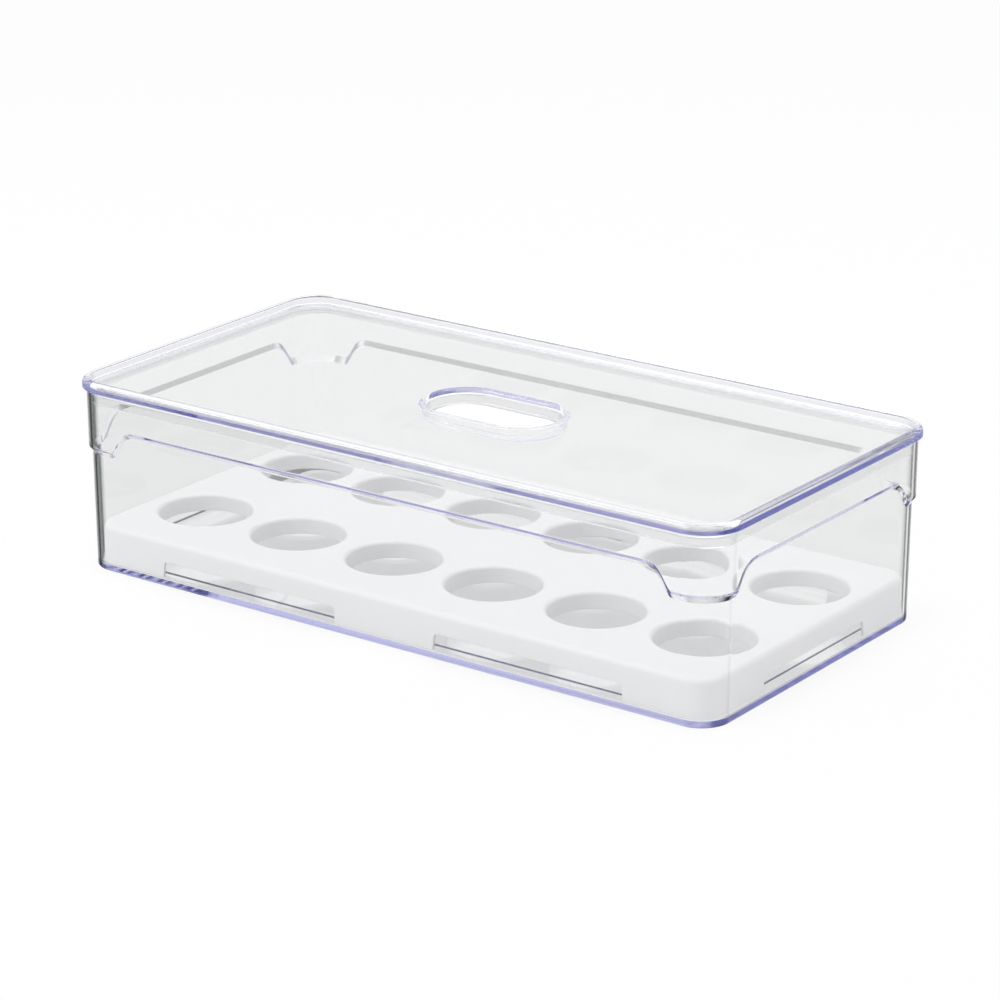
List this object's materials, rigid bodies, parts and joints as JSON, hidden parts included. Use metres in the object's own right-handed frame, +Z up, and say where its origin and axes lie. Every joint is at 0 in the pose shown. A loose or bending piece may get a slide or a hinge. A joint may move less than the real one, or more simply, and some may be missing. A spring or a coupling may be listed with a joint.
{
  "type": "refrigerator egg keeper",
  "caption": "Clear lidded refrigerator bin with a stepped wall, a lid with an oval finger recess, and a lift-out white tray of round wells.",
  "frame": {"origin": "centre of the bin's footprint, on the surface it stands on", "axes": "+X along the length, +Y across the width, +Z up through the lid"},
  "size_m": [0.32, 0.162, 0.0824],
  "materials": {
    "bin_plastic": "clear moulded plastic, polished",
    "lid_plastic": "clear moulded plastic, polished",
    "tray_plastic": "white moulded plastic, satin"
  },
  "bodies": {
    "bin": {"bin": "bin_plastic"},
    "lid": {"lid": "lid_plastic"},
    "tray": {"egg_tray": "tray_plastic"}
  },
  "joints": [
    {"name": "lid_lift", "type": "slide", "parent": "bin", "child": "lid", "axis": [0, 0, 1], "range_m": [0, 0.2]},
    {"name": "tray_lift", "type": "slide", "parent": "bin", "child": "tray", "axis": [0, 0, 1], "range_m": [0, 0.1]}
  ],
  "couplings": [
    {"joint": "tray_lift", "follows": "lid_lift", "ratio": 0.5}
  ]
}
